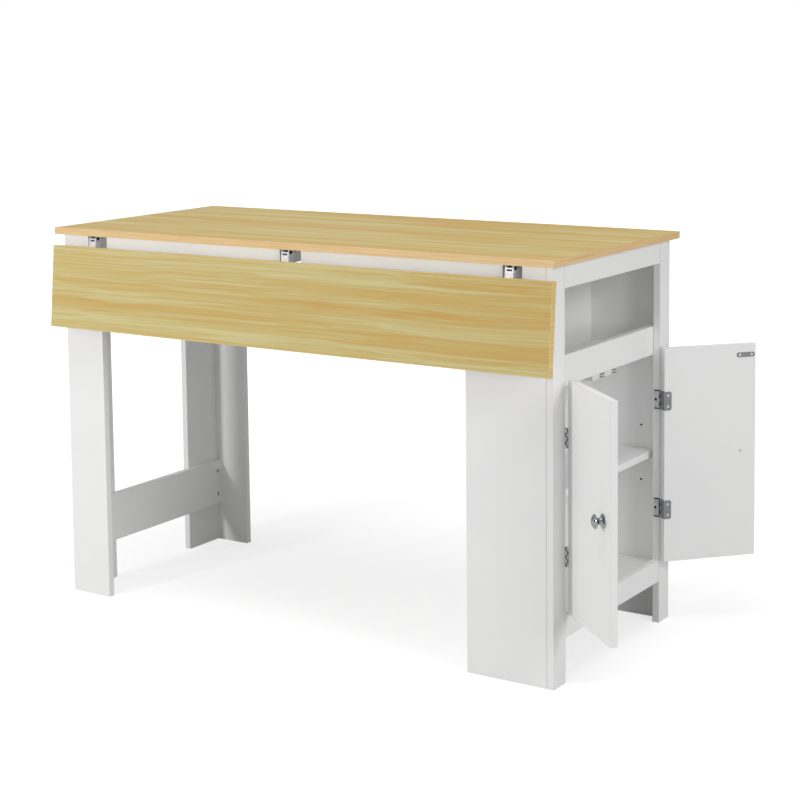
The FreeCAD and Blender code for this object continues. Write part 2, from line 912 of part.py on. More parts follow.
def moving_arm(middle):
    """The arm under the leaf, raised: a channel that tapers from a deep heel at its pivot."""
    heel = pivot_below_top - arm_heel_depth
    rim = pivot_below_top - arm_rim_depth
    taper_end = arm_heel_length + arm_taper_length
    outline = at_pivot([
        (0, pivot_below_top),
        (-arm_length, pivot_below_top),
        (-arm_length, pivot_below_top - arm_rim_depth / 2),
        (-arm_length + arm_rim_depth / 2, rim),
        (-taper_end, rim),
        (-arm_heel_length, heel),
        (arm_eye_radius / 2, heel),
        (arm_eye_radius, heel / 2),
        (arm_eye_radius, 0),
    ])
    body = prism(outline, "x", middle - bracket_width / 2, bracket_width)
    above_eye = block(
        middle - bracket_width,
        middle + bracket_width,
        pivot_y,
        pivot_y + arm_eye_radius * 2,
        pivot_z,
        under_top,
    )
    body = body.cut(above_eye).fuse(eye(middle, bracket_width, arm_eye_radius))
    inside = bracket_width / 2 - bracket_sheet
    room = block(
        middle - inside,
        middle + inside,
        pivot_y - arm_length,
        pivot_y + arm_eye_radius * 2,
        pivot_z - arm_heel_depth,
        pivot_z + arm_web_inner,
    )
    back_room = block(
        middle - inside,
        middle + inside,
        pivot_y,
        pivot_y + arm_eye_radius * 2,
        pivot_z,
        under_top,
    )
    relief = block(
        middle - bracket_width,
        middle + bracket_width,
        leaf_back_edge,
        pivot_y + arm_eye_radius,
        under_top - arm_relief,
        under_top,
    )
    slot_near = pivot_y - arm_slot_below_pivot - arm_slot_height
    slot = block(
        middle - arm_slot_width / 2,
        middle + arm_slot_width / 2,
        slot_near,
        slot_near + arm_slot_height,
        pivot_z,
        under_top,
    )
    body = body.cut(room).cut(back_room).cut(relief).cut(slot)
    body = body.cut(eye(middle, bracket_width, rivet_radius + rivet_clearance))
    return bored(body, arm_screw_seats(middle), UP, screw_radius, bracket_sheet).removeSplitter()


def pivot_rivet(middle):
    """The rivet that the arm turns on, with a head outside each cheek."""
    reach = bracket_width / 2 + rivet_head_gap
    shank = rod(vec(middle - reach, pivot_y, pivot_z), RIGHT, rivet_radius, 2 * reach)
    left_head = rod(vec(middle - reach, pivot_y, pivot_z), LEFT, rivet_head_radius, rivet_head_height)
    right_head = rod(vec(middle + reach, pivot_y, pivot_z), RIGHT, rivet_head_radius, rivet_head_height)
    return shank.fuse(left_head).fuse(right_head).removeSplitter()


def make_lock_bar(middle):
    """A flat bar that slides forward under the raised arm's web, with a thumb tab."""
    near = pivot_y + lock_setback
    low = pivot_z + lock_bottom
    high = pivot_z + lock_top
    bar = block(middle - lock_width / 2, middle + lock_width / 2, near, near + lock_length, low, high)
    tab_near = near + lock_tab_offset
    tab_far = tab_near + lock_tab_length
    tab_end = middle + lock_tab_reach
    neck = block(middle, tab_end, tab_near, tab_far, low, high)
    tab = block(tab_end - lock_thickness, tab_end, tab_near, tab_far, high - lock_tab_drop, high)
    return bar.fuse(neck).fuse(tab).removeSplitter()


def make_channel_screws():
    """The screws that hold the fixed channels to the tabletop."""
    return group([
        screw(seat, UP, screw_head_radius, screw_head_height, screw_radius, screw_depth)
        for middle in bracket_middles
        for seat in channel_screw_seats(middle)
    ])


def make_arm_screws():
    """The screws that hold the moving arms to the leaf, in the raised position."""
    return group([
        screw(seat, UP, screw_head_radius, screw_head_height, screw_radius, screw_depth)
        for middle in bracket_middles
        for seat in arm_screw_seats(middle)
    ])


# ---------------------------------------------------------------- sub-parts
def build():
    """Every sub-part by name."""
    leg_near = inner_front + leg_side_reach
    leg_far = inner_back - leg_side_reach
    bottom_rail = make_end_rail(toe_height, bottom_rail_height)
    top_rail = make_end_rail(under_top - top_rail_height, top_rail_height)
    parts = {
        "tabletop": make_tabletop(),
        "tabletop_edge_band": make_tabletop_band(),
        "front_apron": make_front_apron(),
        "back_apron": make_back_apron(),
        "left_end_apron": make_left_end_apron(),
        "front_left_leg_face": make_leg_face(base_front, inner_front),
        "front_left_leg_side": make_leg_side(inner_front, leg_near),
        "back_left_leg_face": make_leg_face(inner_back, base_back),
        "back_left_leg_side": make_leg_side(leg_far, inner_back),
        "leg_stretcher": make_stretcher(),
        "leg_stretcher_screws": make_stretcher_screws(),
        "cabinet_front_panel": make_front_panel(),
        "cabinet_back_panel": make_back_panel(),
        "cabinet_inner_side": make_inner_side(),
        "front_stile": make_stile(base_front, stile_front_edge, stile_front_edge, FRONT),
        "back_stile": make_stile(stile_back_edge, base_back, stile_back_edge, BACK),
        "top_rail": top_rail,
        "bottom_rail": bottom_rail,
        "tray_lip": with_catch_holes(make_tray_lip()),
        "tray_deck": with_catch_holes(make_tray_deck()),
        "cabinet_floor": make_cabinet_floor(),
        "adjustable_shelf": make_shelf(),
        "shelf_pins": make_shelf_pins(),
        "catch_housings": make_catch_housings(),
        "catch_magnets": make_catch_magnets(),
        "catch_pole_plates": make_catch_poles(),
        "catch_screws": make_catch_screws(),
        "front_stile_hinge_leaves": make_stile_leaves(),
        "back_stile_hinge_leaves": mirrored(make_stile_leaves()),
        "stile_hinge_screws": group([make_stile_screws(), mirrored(make_stile_screws())]),
        "bracket_channels": group([fixed_channel(middle) for middle in bracket_middles]),
        "bracket_rivets": group([pivot_rivet(middle) for middle in bracket_middles]),
        "bracket_guide_pins": group([
            guide_pin(middle, offset) for middle in bracket_middles for offset in guide_pin_offsets
        ]),
        "bracket_channel_screws": make_channel_screws(),
        "drop_leaf": hanging(make_leaf()),
        "drop_leaf_edge_band": hanging(make_leaf_band()),
        "bracket_arms": group([hanging(moving_arm(middle)) for middle in bracket_middles]),
        "bracket_arm_screws": hanging(make_arm_screws()),
        "left_lock_bar": make_lock_bar(bracket_middles[0]),
        "middle_lock_bar": make_lock_bar(bracket_middles[1]),
        "right_lock_bar": make_lock_bar(bracket_middles[2]),
    }
    door_pieces = {
        "door": make_door(),
        "door_hinge_leaves": make_door_leaves(),
        "door_hinge_pins": make_hinge_pins(),
        "door_knob": make_knob(),
        "door_knob_screw": make_knob_screw(),
        "door_strike_plate": make_strike_plate(),
        "door_screws": make_door_screws(),
    }
    for name, shape in door_pieces.items():
        parts["left_" + name] = left_open(shape)
        parts["right_" + name] = right_open(shape)
    return parts


os.makedirs("parts", exist_ok=True)
for part_name, part_shape in build().items():
    export(part_name, part_shape)
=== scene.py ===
import logging
from dataclasses import dataclass, field
from enum import Enum
from itertools import product
from math import cos, pi, radians, sin

import bmesh
import bpy
from mathutils import Matrix, Vector


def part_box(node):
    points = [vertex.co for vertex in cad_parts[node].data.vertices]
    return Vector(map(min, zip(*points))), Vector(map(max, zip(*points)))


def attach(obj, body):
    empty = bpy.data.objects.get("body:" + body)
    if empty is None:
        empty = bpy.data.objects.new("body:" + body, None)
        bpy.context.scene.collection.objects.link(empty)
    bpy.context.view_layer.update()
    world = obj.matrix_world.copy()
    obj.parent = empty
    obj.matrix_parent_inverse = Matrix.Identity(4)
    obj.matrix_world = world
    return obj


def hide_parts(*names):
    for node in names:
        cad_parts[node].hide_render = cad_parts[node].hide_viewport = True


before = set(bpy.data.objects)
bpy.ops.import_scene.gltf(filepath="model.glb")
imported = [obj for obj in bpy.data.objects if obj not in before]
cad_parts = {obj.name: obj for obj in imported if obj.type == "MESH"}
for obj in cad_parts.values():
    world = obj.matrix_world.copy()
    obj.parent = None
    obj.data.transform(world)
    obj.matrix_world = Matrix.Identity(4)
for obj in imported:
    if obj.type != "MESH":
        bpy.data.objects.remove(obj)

# A kitchen table in white board and straw laminate, with a drop leaf and an end cupboard.
# Lengths are in metres unless a name ends in _mm, and angles in radians unless a comment says
# degrees. X runs along the table to the cupboard, -Y is the leaf's side, and +Z is up.

logging.basicConfig(level=logging.INFO, format="%(message)s")
log = logging.getLogger("kitchen_table")

Colour = tuple[float, float, float, float]
Place = tuple[float, float, float]
Tree = bpy.types.NodeTree
Socket = bpy.types.NodeSocket
Node = bpy.types.Node
Material = bpy.types.Material
Mesh = bmesh.types.BMesh

MM = 0.001
WELD = 1e-6
SHARP_ANGLE = radians(38)
WHITE: Colour = (1.0, 1.0, 1.0, 1.0)

# Where the doors' hinge pins stand, the middles of the hinges, and the stiles' inner edges.
PIN_X = 0.203
LEFT_PIN_Y = -0.2275
RIGHT_PIN_Y = 0.2275
HINGE_HEIGHTS = (0.271, 0.522)
STILE_EDGE = 0.229


# ---- shader helpers
def linear(sheet_colour: str) -> Colour:
    """Turns a paint-card colour into the linear colour that a shader takes.

    Args:
        sheet_colour: The colour as sRGB hex, such as "#D0BA74".

    Returns:
        The linear red, green and blue, and an alpha of 1.
    """
    parts = [int(sheet_colour[i:i + 2], 16) / 255 for i in (1, 3, 5)]
    red, green, blue = [p / 12.92 if p <= 0.04045 else ((p + 0.055) / 1.055) ** 2.4 for p in parts]
    return red, green, blue, 1.0


def add_node(tree: Tree, kind: str, feeds: dict | None = None,
             stops: tuple[tuple[float, Colour], ...] = (), **settings: object) -> Node:
    """Adds one shader node, sets its fields and joins what feeds it.

    Args:
        tree: The node tree of a material or of the world.
        kind: The node's type name.
        feeds: A value or an output socket for each named or numbered input.
        stops: The places and colours of a colour ramp.
        settings: The node's own fields.

    Returns:
        The new node.
    """
    node = tree.nodes.new(kind)
    for name, value in settings.items():
        setattr(node, name, value)
    for name, value in (feeds or {}).items():
        if isinstance(value, Socket):
            tree.links.new(value, node.inputs[name])
        else:
            node.inputs[name].default_value = value
    if stops:
        ramp = node.color_ramp.elements
        while len(ramp) < len(stops):
            ramp.new(1.0)
        for element, (place, colour) in zip(ramp, stops):
            element.position = place
            element.color = colour
    return node


def calc(tree: Tree, operation: str, *values: float | Socket) -> Socket:
    """Does one step of arithmetic on numbers and gives its result."""
    return add_node(tree, "ShaderNodeMath", dict(enumerate(values)), operation=operation).outputs[0]


def shift(tree: Tree, operation: str, *values: Place | Socket) -> Socket:
    """Does one step of arithmetic on places and gives the place, or the measure, that comes out."""
    node = add_node(tree, "ShaderNodeVectorMath", dict(enumerate(values)), operation=operation)
    return node.outputs["Value" if operation in ("DOT_PRODUCT", "LENGTH") else "Vector"]


def table_place(tree: Tree) -> Socket:
    """Gives the place on the table, in metres, which every pattern is drawn from."""
    return add_node(tree, "ShaderNodeTexCoord").outputs["Object"]


def noise(tree: Tree, place: Socket, scale: float, detail: float, roughness: float = 0.5,
          wobble: float = 0.0) -> Socket:
    """Draws soft seedless noise.

    Args:
        tree: The node tree.
        place: Where the pattern is read.
        scale: How many grains there are to a metre.
        detail: How many finer layers it has.
        roughness: How strong the finer layers are.
        wobble: How much the grains are pulled about.

    Returns:
        The socket with the noise, about 0.3 to 0.7.
    """
    return add_node(tree, "ShaderNodeTexNoise", {
        "Vector": place, "Scale": scale, "Detail": detail, "Roughness": roughness,
        "Distortion": wobble}).outputs["Fac"]


def ramp(tree: Tree, factor: Socket, *stops: tuple[float, Colour]) -> Socket:
    """Turns a number into a colour by the stops of a ramp."""
    return add_node(tree, "ShaderNodeValToRGB", {"Fac": factor}, stops=stops).outputs["Color"]


def mix(tree: Tree, factor: Socket, first: Socket, second: Colour) -> Socket:
    """Goes from the first colour at 0 to the second at 1."""
    feeds = {"Factor": factor, 6: first, 7: second}
    return add_node(tree, "ShaderNodeMix", feeds, data_type="RGBA").outputs[2]


def remap(tree: Tree, value: Socket, span: tuple[float, float], onto: tuple[float, float]) -> Socket:
    """Carries a value over from one span of numbers onto another."""
    return add_node(tree, "ShaderNodeMapRange", {
        "Value": value, "From Min": span[0], "From Max": span[1],
        "To Min": onto[0], "To Max": onto[1]}).outputs[0]


def press(tree: Tree, shader: Node, height: Socket, strength: float, depth_mm: float,
          under: Socket | None = None) -> None:
    """Presses a fine relief into the surface.

    Args:
        tree: The node tree.
        shader: The Principled node.
        height: The relief's height.
        strength: How much of it shows.
        depth_mm: The relief's depth.
        under: The normal that it lies on, or none for the plain surface.
    """
    feeds = {"Height": height, "Strength": strength, "Distance": depth_mm * MM}
    if under is not None:
        feeds["Normal"] = under
    relief = add_node(tree, "ShaderNodeBump", feeds)
    tree.links.new(relief.outputs[0], shader.inputs["Normal"])


def start_material(name: str) -> tuple[Material, Tree, Node]:
    """Starts an empty material with its Principled shader joined to the output.

    Args:
        name: The finish's name.

    Returns:
        The material, its node tree and its Principled node.
    """
    material = bpy.data.materials.new(name)
    material.use_nodes = True
    tree = material.node_tree
    tree.nodes.clear()
    shader = add_node(tree, "ShaderNodeBsdfPrincipled")
    add_node(tree, "ShaderNodeOutputMaterial", {"Surface": shader.outputs["BSDF"]})
    return material, tree, shader


# ---- finishes
@dataclass(frozen=True)
class StrawLaminate:
    """Printed straw-coloured wood laminate on a board with a plain pale backing.

    Fine straight lines of pale straw and warm amber run along X, gathered into broader bands, so
    the eye reads one long board; a slow sideways drift keeps the lines from looking ruled.

    Attributes:
        name: The finish's name.
        back_normal: The way the board's backed side faces, as the table stands.
        back_reach: How far out along that way the backing begins.
        band_mm: The width of the broad bands.
        line_mm: The width of the lines.
        pore_mm: The width of the finest pores.
        bends_per_metre: How often the grain wanders.
        bend_mm: How far it may wander.
    """

    name: str
    back_normal: Place
    back_reach: float
    band_mm: float = 34.0
    line_mm: float = 8.5
    pore_mm: float = 2.6
    bends_per_metre: float = 2.4
    bend_mm: float = 20.0

    def wander(self, tree: Tree, place: Socket) -> Socket:
        """Bends the grain: long lazy waves move the lines a few millimetres to the side.

        Args:
            tree: The node tree.
            place: The place on the table.

        Returns:
            The place from which the lines are drawn.
        """
        bend = add_node(tree, "ShaderNodeTexNoise", {
            "Vector": place, "Scale": self.bends_per_metre, "Detail": 2.0, "Roughness": 0.5})
        off = shift(tree, "SUBTRACT", bend.outputs["Color"], (0.5, 0.5, 0.5))
        pushed = shift(tree, "MULTIPLY", off, (self.bend_mm * MM,) * 3)
        return shift(tree, "ADD", place, pushed)

    def make(self) -> Material:
        """Builds the laminate.

        Returns:
            The finished material.
        """
        material, tree, shader = start_material(self.name)
        place = table_place(tree)
        run = self.wander(tree, place)
        layers = []
        # Of each layer of lines: their width, how often they end, their share and their wobble.
        for width_mm, per_metre, share, wobble in ((self.band_mm, 0.7, 0.34, 0.0),
                                                   (self.line_mm, 1.2, 0.46, 0.8),
                                                   (self.pore_mm, 4.0, 0.20, 0.0)):
            across = 1 / (width_mm * MM)
            scale = (per_metre, across, across)
            stretch = add_node(tree, "ShaderNodeMapping", {"Vector": run, "Scale": scale})
            lines = noise(tree, stretch.outputs[0], 1.0, 3.0, 0.55, wobble)
            layers.append(calc(tree, "MULTIPLY", lines, share))
        bands, lines, pores = layers
        grain = calc(tree, "ADD", calc(tree, "ADD", bands, lines), pores)
        tone = ramp(tree, grain, (0.38, linear("#CDA661")), (0.46, linear("#CFB16F")),
                    (0.52, linear("#CFBC7E")), (0.61, linear("#D6C995")))
        reach = shift(tree, "DOT_PRODUCT", place, self.back_normal)
        behind = calc(tree, "GREATER_THAN", reach, self.back_reach)
        board = mix(tree, behind, tone, linear("#ECEBE8"))
        tree.links.new(board, shader.inputs["Base Color"])
        # A satin print, very slightly pressed in along the pores.
        press(tree, shader, grain, 0.06, 0.4)
        shader.inputs["Roughness"].default_value = 0.55
        shader.inputs["Specular IOR Level"].default_value = 0.06
        return material


@dataclass(frozen=True)
class EdgeTape:
    """Satin edge tape, warmer than the laminate, with the faint lines of its own printed grain.

    Attributes:
        name: The finish's name.
        dark: The colour of its darkest lines.
        middle: The colour of most of it.
        light: The colour of its palest lines.
        line_mm: The width of the lines.
        lines_per_metre: How often a line ends along the tape.
    """

    name: str
    dark: str
    middle: str
    light: str
    line_mm: float = 2.2
    lines_per_metre: float = 7.0

    def make(self) -> Material:
        """Builds the tape.

        Returns:
            The finished material.
        """
        material, tree, shader = start_material(self.name)
        stretch = add_node(tree, "ShaderNodeMapping", {
            "Vector": table_place(tree),
            "Scale": (self.lines_per_metre, self.lines_per_metre, 1 / (self.line_mm * MM))})
        line = noise(tree, stretch.outputs[0], 1.0, 4.0, 0.6)
        tone = ramp(tree, line, (0.30, linear(self.dark)), (0.50, linear(self.middle)),
                    (0.72, linear(self.light)))
        tree.links.new(tone, shader.inputs["Base Color"])
        press(tree, shader, line, 0.06, 0.3)
        shader.inputs["Roughness"].default_value = 0.42
        shader.inputs["Specular IOR Level"].default_value = 0.35
        return material


@dataclass(frozen=True)
class WhiteLacquer:
    """White lacquer on smooth fibreboard, with eased edges.

    A fine orange-peel ripple breaks up the highlight, a slow drift in the white keeps large boards
    from looking blank, and the eased arrises catch a thin line of light. Where boards butt
    together in one face, the shade in the joint is painted as a grey hairline.

    Attributes:
        name: The finish's name.
        shade_butt_joints: Whether painted shade is drawn along the cupboard's butt joints.
        peel_mm: The size of the ripple.
        arris_mm: The radius of the eased edges.
        seam_mm: Half the width of a joint's painted shade line.
        seam_shade: How dark the painted shade line is.
        panel_end: The X at which the cupboard's walls meet its stiles.
        end_face: The X past which the cupboard's end face lies.
        side_face: The distance from the middle past which its front and back faces lie.
    """

    name: str
    shade_butt_joints: bool = False
    peel_mm: float = 1.4
    arris_mm: float = 1.5
    seam_mm: float = 1.0
    seam_shade: float = 0.22
    panel_end: float = 0.184
    end_face: float = 0.1995
    side_face: float = 0.2795

    def draw_seam_shade(self, tree: Tree, place: Socket) -> Socket:
        """Paints shade as hairlines along the joints where the cupboard's end boards butt together.

        Args:
            tree: The node tree.
            place: The place on the table.

        Returns:
            The socket with the painted shade, above 0 along a joint.
        """
        axes = add_node(tree, "ShaderNodeSeparateXYZ", {"Vector": place})
        along = axes.outputs["X"]
        aside = calc(tree, "ABSOLUTE", axes.outputs["Y"])
        seams = []
        for line, seam_at, reach, face in ((along, self.panel_end, aside, self.side_face),
                                           (aside, STILE_EDGE, along, self.end_face)):
            near = calc(tree, "ABSOLUTE", calc(tree, "SUBTRACT", line, seam_at))
            thin = calc(tree, "LESS_THAN", near, self.seam_mm * MM)
            outer = calc(tree, "GREATER_THAN", reach, face)
            seams.append(calc(tree, "MULTIPLY", thin, outer))
        return calc(tree, "MULTIPLY", calc(tree, "MAXIMUM", *seams), self.seam_shade)

    def make(self) -> Material:
        """Builds the lacquer.

        Returns:
            The finished material.
        """
        material, tree, shader = start_material(self.name)
        place = table_place(tree)
        cloud = noise(tree, place, 3.2, 2.0)
        white = ramp(tree, cloud, (0.30, linear("#F4F4F4")), (0.70, linear("#F8F8F7")))
        if self.shade_butt_joints:
            # Painted shade: the butt joints are darkened to a grey hairline.
            white = mix(tree, self.draw_seam_shade(tree, place), white, linear("#5A5A5A"))
        tree.links.new(white, shader.inputs["Base Color"])
        sheen = remap(tree, cloud, (0.3, 0.7), (0.44, 0.50))
        tree.links.new(sheen, shader.inputs["Roughness"])
        peel = noise(tree, place, 1 / (self.peel_mm * MM), 1.0, 0.4)
        eased = add_node(tree, "ShaderNodeBevel", {"Radius": self.arris_mm * MM}, samples=6)
        press(tree, shader, peel, 0.05, 0.2, eased.outputs[0])
        shader.inputs["Specular IOR Level"].default_value = 0.3
        return material


@dataclass(frozen=True)
class Metal:
    """A metal finish: its colour and gloss, with fine marks from handling or from the plating bath.

    Attributes:
        name: The finish's name.
        colour: The clean metal's colour.
        low_roughness: The roughness where it is brightest.
        high_roughness: The roughness where it is dullest.
        metallic: How much of a metal the eye sees; less for a chalky plating.
        mark_mm: The size of the marks.
        mottle: How much darker the marks are.
        dent: How deep the marks look.
    """

    name: str
    colour: str
    low_roughness: float
    high_roughness: float
    metallic: float = 1.0
    mark_mm: float = 3.0
    mottle: float = 0.12
    dent: float = 0.05

    def make(self) -> Material:
        """Builds the metal.

        Returns:
            The finished material.
        """
        material, tree, shader = start_material(self.name)
        mark = noise(tree, table_place(tree), 1 / (self.mark_mm * MM), 4.0, 0.6)
        red, green, blue, _ = clean = linear(self.colour)
        keep = 1 - self.mottle
        tone = ramp(tree, mark, (0.35, (red * keep, green * keep, blue * keep, 1.0)), (0.60, clean))
        tree.links.new(tone, shader.inputs["Base Color"])
        gloss = remap(tree, mark, (0.3, 0.7), (self.high_roughness, self.low_roughness))
        tree.links.new(gloss, shader.inputs["Roughness"])
        press(tree, shader, mark, self.dent, 0.2)
        shader.inputs["Metallic"].default_value = self.metallic
        return material


@dataclass(frozen=True)
class Moulded:
    """A plain moulded or pressed material with a fine matt grain.

    Attributes:
        name: The finish's name.
        colour: The colour of the grain's crests.
        shade: The colour between them.
        roughness: Its roughness.
        grain_mm: The size of the grain.
        depth: How deep the grain looks.
    """

    name: str
    colour: str
    shade: str
    roughness: float
    grain_mm: float = 0.8
    depth: float = 0.12

    def make(self) -> Material:
        """Builds the moulded material.

        Returns:
            The finished material.
        """
        material, tree, shader = start_material(self.name)
        grain = noise(tree, table_place(tree), 1 / (self.grain_mm * MM), 2.0, 0.6)
        tone = ramp(tree, grain, (0.35, linear(self.shade)), (0.62, linear(self.colour)))
        tree.links.new(tone, shader.inputs["Base Color"])
        press(tree, shader, grain, self.depth, 0.3)
        shader.inputs["Roughness"].default_value = self.roughness
        return material


@dataclass(frozen=True)
class HingeSteel:
    """Pressed hinge steel: clouded grey leaves, and a black line of painted shade that steps round the
    knuckles where they meet.

    Attributes:
        name: The finish's name.
        colour: The leaf's colour.
        pin_y: Where the hinge's pin stands along Y.
        bow_mm: How far the painted shade line steps to each side.
        shift_mm: How far the painted shade line lies from the pin's middle, as seen between the open leaves.
        knuckle_mm: How far from the pin the painted shade line is drawn.
        step_mm: The height over which the painted shade line steps out and back.
        knuckle_shade_mm: The painted shade line's width.
        cloud_mm: The size of the clouds in the plating.
        across: The way across the painted shade line, level and between the open leaves.
    """

    name: str
    colour: str
    pin_y: float
    bow_mm: float = 1.9
    shift_mm: float = 0.0
    knuckle_mm: float = 4.2
    step_mm: float = 17.2
    knuckle_shade_mm: float = 2.2
    cloud_mm: float = 5.0
    across: Place = (0.84, 0.54, 0.0)

    def draw_knuckle_shade(self, tree: Tree, place: Socket) -> Socket:
        """Paints the shade where the knuckles meet, as a wave up the barrel.

        Args:
            tree: The node tree.
            place: The place on the table.

        Returns:
            The socket that is 1 in the painted shade line and 0 beside it.
        """
        from_pin = shift(tree, "SUBTRACT", place, (PIN_X, self.pin_y, 0.0))
        level = shift(tree, "MULTIPLY", from_pin, (1.0, 1.0, 0.0))
        barrel = calc(tree, "LESS_THAN", shift(tree, "LENGTH", level), self.knuckle_mm * MM)
        height = add_node(tree, "ShaderNodeSeparateXYZ", {"Vector": from_pin}).outputs["Z"]
        wave = calc(tree, "SINE", calc(tree, "MULTIPLY", height, 2 * pi / (self.step_mm * MM)))
        bow = calc(tree, "MULTIPLY_ADD", wave, self.bow_mm * MM, self.shift_mm * MM)
        side = shift(tree, "DOT_PRODUCT", level, self.across)
        near = calc(tree, "ABSOLUTE", calc(tree, "SUBTRACT", side, bow))
        knuckle_shade = calc(tree, "LESS_THAN", near, self.knuckle_shade_mm * MM / 2)
        return calc(tree, "MULTIPLY", barrel, knuckle_shade)

    def make(self) -> Material:
        """Builds the hinge steel.

        Returns:
            The finished material.
        """
        material, tree, shader = start_material(self.name)
        place = table_place(tree)
        cloud = noise(tree, place, 1 / (self.cloud_mm * MM), 4.0, 0.6)
        red, green, blue, _ = clean = linear(self.colour)
        clouded = (red * 0.84, green * 0.84, blue * 0.86, 1.0)
        tone = ramp(tree, cloud, (0.35, clouded), (0.62, clean))
        # Painted shade: a near-black line where the knuckles meet, laid out as it is seen between the open
        # leaves.
        steel = mix(tree, self.draw_knuckle_shade(tree, place), tone, linear("#141415"))
        tree.links.new(steel, shader.inputs["Base Color"])
        press(tree, shader, cloud, 0.06, 0.2)
        shader.inputs["Metallic"].default_value = 0.3
        shader.inputs["Roughness"].default_value = 0.5
        return material


def made(finish: StrawLaminate | EdgeTape | WhiteLacquer | Metal | Moulded | HingeSteel) -> Material:
    """Keeps a finish ready, to be made when the table's finishes are gathered."""
    return field(default_factory=finish.make)


@dataclass
class Finishes:
    """Every finish of the table, made once and shared by the pieces that wear it."""

    # Straw laminate: one sheet for the fixed top and one for the leaf, each with its backing
    # underneath. The lines of the top are drawn three times coarser, since its true ones are too
    # fine to show on a surface seen at so flat a slant.
    top_laminate: Material = made(StrawLaminate("top_laminate", (0.0, 0.0, -1.0), -0.8846, 100.0, 27.0, 9.0))
    leaf_laminate: Material = made(StrawLaminate("leaf_laminate", (0.0, 0.99619, -0.08716), -0.36366))
    # Edge tape: warm and a little brighter than the laminate on the top, nearer to it on the leaf.
    top_tape: Material = made(EdgeTape("top_edge_tape", "#DCB276", "#E8C58D", "#EED0A0"))
    leaf_tape: Material = made(EdgeTape("leaf_edge_tape", "#D9B46F", "#E3C37E", "#EAD095"))
    # White lacquer: a clean, slightly soft white; on the cupboard's frame, the shade along its butt joints is
    # painted as hairlines.
    white: Material = made(WhiteLacquer("white_board"))
    framed_white: Material = made(WhiteLacquer("white_framed_board", shade_butt_joints=True))
    # Polished chrome: a near mirror, so the knobs show dark cards and white room side by side.
    chrome: Material = made(Metal("chrome", "#929396", 0.04, 0.07, mottle=0.03, dent=0.01))
    # Pale zinc of the folding brackets: nearly white where it faces the light, as fresh plating is.
    pale_zinc: Material = made(Metal("pale_zinc", "#DADBDD", 0.40, 0.52, metallic=0.25, mark_mm=5.0,
                                     mottle=0.06))
    # Dull nickel of the strike plates: darker than the zinc, so its bright screws stand out.
    nickel: Material = made(Metal("dull_nickel", "#77787B", 0.38, 0.50, metallic=0.8))
    # Pressed hinges: one steel, its copies lightened or darkened as painted light and shade, brightest
    # on the left pair and darkest, as painted shade, on the right pair's door leaves. A black line of
    # painted shade steps round the knuckles where they meet; the right pair is seen from the side, so
    # that line runs nearly straight and off the pin.
    left_stile_hinge: Material = made(HingeSteel("left_stile_hinge_steel", "#EDEDEE", LEFT_PIN_Y))
    right_stile_hinge: Material = made(HingeSteel("right_stile_hinge_steel", "#D2D3D4", RIGHT_PIN_Y,
                                                  0.4, -1.6))
    left_door_hinge: Material = made(HingeSteel("left_door_hinge_steel", "#E4E4E5", LEFT_PIN_Y))
    right_door_hinge: Material = made(HingeSteel("right_door_hinge_steel", "#838486", RIGHT_PIN_Y, 0.4, -1.6))
    # Coated magnet: a pale grey block between its two dark pole plates.
    magnet: Material = made(Moulded("magnet_coat", "#C9C9C8", "#BDBDBC", 0.5))
    # Bright zinc plating: grey, a little cloudy, soft in its shine.
    zinc: Material = made(Metal("zinc_steel", "#B9BBBE", 0.24, 0.36, mark_mm=4.0))
    # Blackened steel: dark with a dull glint, as on small screws and rivets.
    black: Material = made(Metal("black_steel", "#232426", 0.32, 0.46, metallic=0.6, mark_mm=1.5))
    # Near-black bars of painted shade at the ends of the stile hinge leaves, standing for the dark gaps
    # there: the deepest black on the table, with almost no shine.
    gap_shade: Material = made(Moulded("black_gap_shade", "#0E0E0E", "#080808", 0.8))
    # White moulded plastic of the catches: slightly greyer and duller than the lacquer.
    plastic: Material = made(Moulded("catch_plastic", "#E9E9E6", "#E2E2DF", 0.45))
    # Raw particle board in drilled holes: brown chips, rough and unpainted.
    chips: Material = made(Moulded("raw_chipboard", "#6B5138", "#3A2A1C", 0.85, grain_mm=1.2, depth=0.5))


# ---- pieces
def dress(material: Material, *nodes: str) -> None:
    """Gives CAD nodes their finish.

    Args:
        material: The finish.
        nodes: The names of the nodes that wear it.
    """
    for name in nodes:
        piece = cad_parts[name]
        piece.data.materials.clear()
        piece.data.materials.append(material)


def add_object(name: str, work: Mesh, material: Material) -> bpy.types.Object:
    """Turns a worked mesh into an object of the scene.

    Args:
        name: The object's name.
        work: The mesh as worked, which is used up.
        material: Its finish.

    Returns:
        The new object.
    """
    mesh = bpy.data.meshes.new(name)
    work.to_mesh(mesh)
    work.free()
    mesh.materials.append(material)
    whole = bpy.data.objects.new(name, mesh)
    bpy.context.scene.collection.objects.link(whole)
    return whole


def place_piece(name: str, work: Mesh, material: Material, body: str,
                stands_for: tuple[str, ...] = (), smooth: bool = False, keep_sides: bool = False) -> None:
    """Makes one finished piece from a worked mesh and sets it on its body.

    Args:
        name: The piece's name.
        work: The mesh as worked, already in its place.
        material: The finish.
        body: The moving or standing body that carries it.
        stands_for: The CAD nodes that it replaces.
        smooth: Whether it is shaded as turned or moulded work.
        keep_sides: Whether its faces already point the right way, as in the lining of a hole.
    """
    bmesh.ops.remove_doubles(work, verts=work.verts, dist=WELD)
    if not keep_sides:
        bmesh.ops.recalc_face_normals(work, faces=work.faces)
    for face in work.faces:
        face.smooth = smooth
    piece = add_object(name, work, material)
    if smooth:
        piece.data.set_sharp_from_angle(angle=SHARP_ANGLE)
    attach(piece, body)
    if stands_for:
        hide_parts(*stands_for)
    log.info("piece %s rides on %s", name, body)


def facing(seat: Place, outward: Place) -> Matrix:
    """Gives the move that sets a fitting made about +Z on its seat, facing outward."""
    turn = Vector(outward).to_track_quat("Z", "X").to_matrix().to_4x4()
    return Matrix.Translation(seat) @ turn


